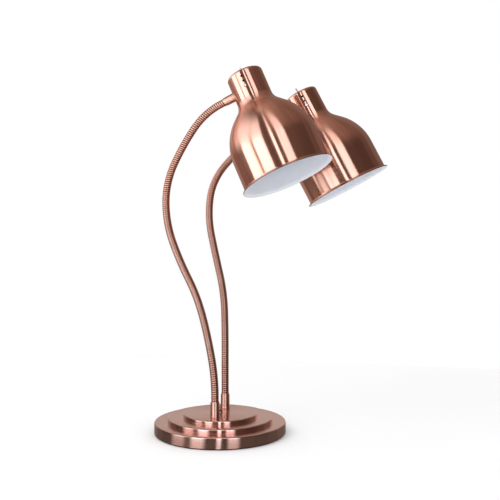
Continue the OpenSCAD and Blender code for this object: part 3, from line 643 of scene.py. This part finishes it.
def woundTree():
    tree = Tree("wound hose", {
        "Radius": "NodeSocketFloat", "Ridge": "NodeSocketFloat", "Pitch": "NodeSocketFloat",
        "Ring step": "NodeSocketFloat", "Sides": "NodeSocketInt", "Finish": "NodeSocketMaterial"})
    given = tree.input.outputs
    path = tree.node("GeometryNodeMeshToCurve", {}, {"Mesh": given["Geometry"]})[0]
    path = tree.node("GeometryNodeResampleCurve", {"mode": "LENGTH"},
                     {"Curve": path, "Length": given["Ring step"]})[0]
    path = tree.node("GeometryNodeSetCurveNormal", {"mode": "FREE"},
                     {"Curve": path, "Normal": tree.read("sideways", "FLOAT_VECTOR")})[0]
    path = tree.store(path, "centre", tree.node("GeometryNodeInputPosition")[0], "FLOAT_VECTOR")
    ring = tree.node("GeometryNodeCurvePrimitiveCircle", {"mode": "RADIUS"},
                     {"Resolution": given["Sides"], "Radius": given["Radius"]})[0]
    ring = tree.store(ring, "turn", tree.node("GeometryNodeSplineParameter")["Factor"])
    tube = tree.node("GeometryNodeCurveToMesh", {},
                     {"Curve": path, "Profile Curve": ring, "Fill Caps": True})[0]
    tube = tree.store(tube, "ridge", woundRidge(tree, given["Pitch"]))
    out = tree.node("ShaderNodeVectorMath", {"operation": "SUBTRACT"},
                    {0: tree.node("GeometryNodeInputPosition")[0], 1: tree.read("centre", "FLOAT_VECTOR")})[0]
    out = tree.node("ShaderNodeVectorMath", {"operation": "NORMALIZE"}, {0: out})[0]
    sink = tree.maths("MULTIPLY", tree.maths("SUBTRACT", tree.read("ridge"), 1.0), given["Ridge"])
    shift = tree.node("ShaderNodeVectorMath", {"operation": "SCALE"}, {0: out, "Scale": sink})[0]
    tube = tree.node("GeometryNodeSetPosition", {}, {"Geometry": tube, "Offset": shift})[0]
    tube = tree.node("GeometryNodeSetShadeSmooth", {"domain": "FACE"}, {0: tube, "Shade Smooth": True})[0]
    tree.finish(tube, given["Finish"])
    return tree


wound = woundTree()


def hosePiece(name, arm, start, end):
    # one stretch of gooseneck between two distances along it
    steps = max(2, round((end - start) / hose["pathStep"]))
    distances = [start + (end - start) * i / steps for i in range(steps + 1)]
    places = [armPlace(arm, d) for d in distances]
    mesh = bpy.data.meshes.new(name)
    mesh.from_pydata([place.translation * mm for place in places], [(i, i + 1) for i in range(steps)], [])
    mesh.attributes.new("distance", "FLOAT", "POINT").data.foreach_set("value", [d * mm for d in distances])
    mesh.attributes.new("sideways", "FLOAT_VECTOR", "POINT").data.foreach_set(
        "vector", [x for place in places for x in place.col[0].xyz])
    piece = bpy.data.objects.new(name, mesh)
    scene.collection.objects.link(piece)
    wound.apply(piece, {
        "Radius": hose["radius"] * mm, "Ridge": hose["ridge"] * mm, "Pitch": hose["pitch"] * mm,
        "Ring step": hose["ringStep"] * mm, "Sides": hose["sides"], "Finish": hoseCopper})
    for extra in ("centre", "turn", "sideways", "distance"):
        if extra in piece.data.attributes:
            piece.data.attributes.remove(piece.data.attributes[extra])
    return piece


def makeHose(side, arm):
    # a stretch for each hinge, and a plain one at each end
    link, links, seat = armSizes["linkLength"], armSizes["links"], armSizes["straight"]
    bodies = ["stand"] + [side + "_link_" + str(k) for k in range(2, links)] + [side + "_head"]
    middles = [(k + 0.5) * link for k in range(links)]
    low = hosePiece(side + "_hose_foot", arm, -seat, middles[0])
    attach(low, "stand")
    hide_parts(side + "_gooseneck_1")
    for k in range(links - 1):
        piece = hosePiece(side + "_hose_" + str(k + 1), arm, middles[k], middles[k + 1])
        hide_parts(side + "_gooseneck_" + str(k + 1), side + "_gooseneck_" + str(k + 2))
        armPlace(arm, middles[k]).translation * mm
        armPlace(arm, middles[k + 1]).translation * mm
        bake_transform(piece)
    high = hosePiece(side + "_hose_tip", arm, middles[-1], link * links + seat)
    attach(high, side + "_head")
    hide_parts(side + "_gooseneck_" + str(links))


for side, arm in arms.items():
    makeHose(side, arm)
print("goosenecks made")


# Finishes of the solids that keep their own shape
for side in arms:
    dress(zinc, side + "_ferrule_nut", side + "_bracket", side + "_holder_screws")
    dress(nickel, side + "_bracket_screws", side + "_switch_nut", side + "_switch_lever")
    dress(ceramic, side + "_lampholder")
    dress(brass, side + "_screw_shell", side + "_bulb_cap")
    dress(blackPlastic, side + "_switch_body")
    dress(frosted, side + "_bulb_glass")
dress(castIron, "base_ballast")
dress(zinc, "base_plate", "plate_screws", "arm_washers", "arm_nuts")
dress(rubber, "base_pad")
dress(blackPlastic, "cable_gland", "gland_nut", "power_switch_body")
dress(nickel, "power_switch_nut", "power_switch_lever")
dress(ivoryPlastic, "terminal_block")
dress(brass, "terminal_screws")
print("solids dressed")


# Studio: a white room, with tall soft lights and dark cards round the lamp, seen only in the metal
studio = {
    "centre": (0.1, 0.05, 0.35), "distance": 8.0, "leanLeft": 22, "leanAway": 10, "low": -50, "high": 88,
    "columnTurn": 4, "rows": 24, "floorSize": 1.6, "floorBrightness": 0.94,
    # dark cards are warm up to one brightness, and lights fully cool from another on
    "warmDark": (1.05, 0.84, 0.78), "coolLight": (1.0, 1.2, 1.45), "warmUpTo": 0.65, "coolFrom": 1.55,
    # in shares of a card's height, where its three brightnesses lie, then what it fades to overhead
    "heights": (0.385, 0.45, 0.51, 0.58, 0.74), "overhead": {"left": 0.15, "right": 0.4},
    "overheadHeights": (0.9, 0.96), "poleHeight": 0.985, "poleBrightness": 0.9,
    # from and to in degrees from the camera's side towards the right, then the brightness low,
    # at the shades' shoulders and at their slopes
    "cards": {
        "left_back_card": (-180, -162, 0.5, 0.4, 0.5), "left_card_1": (-162, -140, 0.35, 0.35, 0.6),
        "left_card_2": (-140, -116, 0.15, 0.2, 0.8), "left_card_3": (-116, -89, 0.07, 0.16, 1.3),
        "left_light": (-89, -59, 1.25, 2.7, 1.5), "left_gap": (-59, -52, 0.25, 0.5, 1.0),
        "left_front_light": (-52, -24, 2.1, 2.5, 1.4), "front_card_1": (-24, -4.2, 0.1, 0.15, 0.13),
        "front_light": (-4, 2.2, 2.4, 2.4, 1.4), "front_card_2": (2.4, 12, 0.05, 0.06, 0.35),
        "right_front_light": (12.5, 32.5, 1.7, 1.7, 1.3), "right_card_1": (33, 60, 0.09, 0.09, 0.3),
        "right_card_2": (60, 92, 0.075, 0.08, 0.25), "right_card_3": (92, 115, 0.12, 0.13, 0.2),
        "right_card_4": (115, 150, 0.2, 0.2, 0.25), "right_card_5": (150, 180, 0.25, 0.27, 0.3),
    },
}
upwards = Vector((0, 0, 1))
away = Vector((-sin(radians(view["heading"])), cos(radians(view["heading"])), 0))
right = Vector((cos(radians(view["heading"])), sin(radians(view["heading"])), 0))


def grey(level):
    return (level, level, level, 1)


def tinted(brightness, dark, light):
    # lights are cooler than dark cards, as the photograph's metal shows them
    warmUpTo, coolFrom = studio["warmUpTo"], studio["coolFrom"]
    share = min(1.0, max(0.0, (brightness - warmUpTo) / (coolFrom - warmUpTo)))
    return tuple(brightness * (d + (l - d) * share) for d, l in zip(dark, light)) + (1,)


def glowing(name, mesh, stops, way=1):
    # part of the room that shows in the metal alone; its colours run up the card, or across it
    glow = Finish(name)
    cardMap = glow.node("ShaderNodeUVMap", {"uv_map": "card"})
    height = glow.node("ShaderNodeSeparateXYZ", {}, {"Vector": cardMap}, way)
    glow.set({"Base Color": grey(0), "Specular IOR Level": 0.0, "Emission Strength": 1.0,
              "Emission Color": glow.node("ShaderNodeValToRGB", {"stops": stops}, {"Fac": height})})
    card = finishMesh(name, mesh, [glow.material])
    card.visible_camera = card.visible_diffuse = card.visible_shadow = False


def cardMesh(name, columns, rows, corner):
    # a grid of corner(i, j), with i across it and j up it, both from 0 to 1
    vertices = [corner(i / columns, j / rows) for i in range(columns + 1) for j in range(rows + 1)]
    faces, uvs = [], []
    for i in range(columns):
        for j in range(rows):
            first, u, u2, v, v2 = i * (rows + 1) + j, i / columns, (i + 1) / columns, j / rows, (j + 1) / rows
            faces.append((first, first + 1, first + rows + 2, first + rows + 1))
            uvs += [u, v, u, v2, u2, v2, u2, v]
    mesh = bpy.data.meshes.new(name)
    mesh.from_pydata(vertices, [], faces)
    mesh.uv_layers.new(name="card").uv.foreach_set("vector", uvs)
    return mesh


def skyCard(name, fromTurn, toTurn, low, shoulder, slope):
    # a slice of a big ball whose pole leans as the shades do
    s = studio
    pole = (upwards - right * tan(radians(s["leanLeft"])) + away * tan(radians(s["leanAway"]))).normalized()
    near = (-away + pole * away.dot(pole)).normalized()
    across = pole.cross(near)

    def corner(i, j):
        turn = radians(fromTurn + (toTurn - fromTurn) * i)
        rise = radians(s["low"] + (s["high"] - s["low"]) * j)
        direction = (near * cos(turn) + across * sin(turn)) * cos(rise) + pole * sin(rise)
        return direction * s["distance"] + Vector(s["centre"])

    overhead = s["overhead"]["left" if fromTurn + toTurn < 0 else "right"]
    levels = list(zip(s["heights"], (low, shoulder, shoulder, slope, slope)))
    levels += [(height, overhead) for height in s["overheadHeights"]]
    levels.append((s["poleHeight"], s["poleBrightness"]))
    stops = [(height, tinted(level, s["warmDark"], s["coolLight"])) for height, level in levels]
    columns = max(2, round((toTurn - fromTurn) / s["columnTurn"]))
    glowing(name, cardMesh(name, columns, s["rows"], corner), stops)


for name, sizes in studio["cards"].items():
    skyCard(name, *sizes)


# The same lights and cards once more, close round the base, along the rays that its walls mirror
lowRing = {
    # in metres: the outer wall's radius, and from that wall to the near part's end and to the ring
    "wall": 0.125, "nearReach": 0.09, "reach": 0.3, "height": 0.26, "lift": 0.0006, "tableLift": 0.0004,
    # in degrees: how far it runs to each side, how far it is turned, and from where it is behind the lamp
    "turn": 204, "aim": 2.0, "backTurn": 160, "columns": 204,
    # a light's soft edge, as a share of what it is wider than narrow, and how much of that a dark card has
    "soft": 0.3, "narrow": 6, "least": 0.1, "darkSoft": 0.4,
    "warmDark": (1.0, 0.97, 0.95), "coolLight": (1.0, 1.35, 1.75),
    # brightness: what the near part shows of the cards and adds to them, behind the lamp, and of the table
    "nearShare": 0.3, "nearLeast": 0.08, "tableBack": 0.3, "standingBack": 0.52, "table": 0.1,
}


def ringLevels(back, share, least):
    # turn and brightness where each card begins and ends; behind the lamp every card is as bright as back
    ring, levels = lowRing, []
    for fromTurn, toTurn, level, *_ in studio["cards"].values():
        soft = max(ring["least"], (toTurn - fromTurn - ring["narrow"]) * ring["soft"])
        soft *= 1 if level > 1 else ring["darkSoft"]
        if abs(fromTurn + toTurn) / 2 > ring["backTurn"]:
            level = back
        levels += [(fromTurn + soft, least + share * level), (toTurn - soft, least + share * level)]
    return [(-ring["turn"], levels[0][1])] + levels[1:-1] + [(ring["turn"], levels[-1][1])]


def lowCard(name, start, end, low, high, levels):
    # a wall there faces half way between the camera and the turn that it mirrors
    ring = lowRing

    def corner(i, j):
        turn = ring["turn"] * (2 * i - 1) + ring["aim"]
        half, whole = (radians(turn * share + view["heading"]) for share in (0.5, 1.0))
        wallPoint = Vector((sin(half), -cos(half), 0)) * ring["wall"]
        ray = Vector((sin(whole), -cos(whole), 0)) * (start + (end - start) * j)
        return wallPoint + ray + upwards * (low + (high - low) * j)

    stops = [((turn / ring["turn"] + 1) / 2, tinted(level, ring["warmDark"], ring["coolLight"]))
             for turn, level in levels]
    glowing(name, cardMesh(name, ring["columns"], 1, corner), stops, 0)


nearReach, reach, lift = lowRing["nearReach"], lowRing["reach"], lowRing["lift"]
lowCard("near_table", 0, nearReach, lift, lift,
        ringLevels(lowRing["tableBack"], lowRing["nearShare"], lowRing["nearLeast"]))
lowCard("far_table", nearReach, reach, lift, lift, ringLevels(lowRing["tableBack"], 1.0, 0.0))
lowCard("standing_ring", reach, reach, 0, lowRing["height"], ringLevels(lowRing["standingBack"], 1.0, 0.0))


def tableMesh(name, height):
    half = studio["floorSize"] / 2
    return cardMesh(name, 1, 1, lambda i, j: (half * (2 * i - 1), half * (2 * j - 1), height))


glowing("table_card", tableMesh("table_card", lowRing["tableLift"]),
        [(place, grey(lowRing["table"])) for place in (0.0, 1.0)])
floor = tableMesh("floor", 0)
floorFinish = Finish("white floor")
floorFinish.set({"Base Color": grey(studio["floorBrightness"]), "Roughness": 0.9, "Specular IOR Level": 0.1})
finishMesh("floor", floor, [floorFinish.material])

world = bpy.data.worlds.new("white room")
scene.world = world
world.use_nodes = True
background = world.node_tree.nodes["Background"]
background.inputs["Color"].default_value = grey(1)
background.inputs["Strength"].default_value = 1.0

lamp = {"place": (-1.2, -1.4, 2.2), "target": (0.1, 0, 0.3), "size": 1.6, "power": 14}
lampData = bpy.data.lights.new("key", "AREA")
lampData.size, lampData.energy = lamp["size"], lamp["power"]
key = bpy.data.objects.new("key", lampData)
key.location = lamp["place"]
key.rotation_euler = (Vector(lamp["target"]) - Vector(lamp["place"])).to_track_quat("-Z", "Y").to_euler()
key.visible_glossy = False
scene.collection.objects.link(key)
print("studio made")
